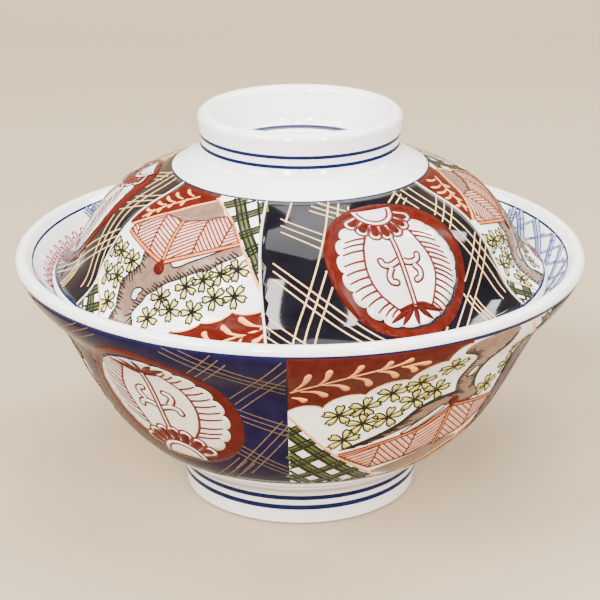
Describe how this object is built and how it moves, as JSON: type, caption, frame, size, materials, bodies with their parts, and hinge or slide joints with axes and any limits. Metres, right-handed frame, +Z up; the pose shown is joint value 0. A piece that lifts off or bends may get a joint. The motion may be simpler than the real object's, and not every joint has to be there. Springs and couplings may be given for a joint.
{
  "type": "lidded donburi bowl",
  "caption": "Deep flared porcelain bowl on a foot ring, with a domed lid that seats inside the lip and lifts off by its grip ring.",
  "frame": {"origin": "centre of the circle that the foot ring stands on, on the surface it stands on", "axes": "+Z up along the turning axis, -Y towards the side that the picture shows"},
  "size_m": [0.155, 0.155, 0.1082],
  "materials": {
    "bowl_porcelain": "clear gloss glaze over cobalt bands and overglaze enamels",
    "lid_porcelain": "clear gloss glaze over cobalt bands and overglaze enamels"
  },
  "bodies": {
    "bowl": {"bowl": "bowl_porcelain"},
    "lid": {"lid": "lid_porcelain"}
  },
  "joints": [
    {"name": "lid_lift", "type": "slide", "parent": "bowl", "child": "lid", "axis": [0, 0, 1], "range_m": [0, 0.08]}
  ]
}
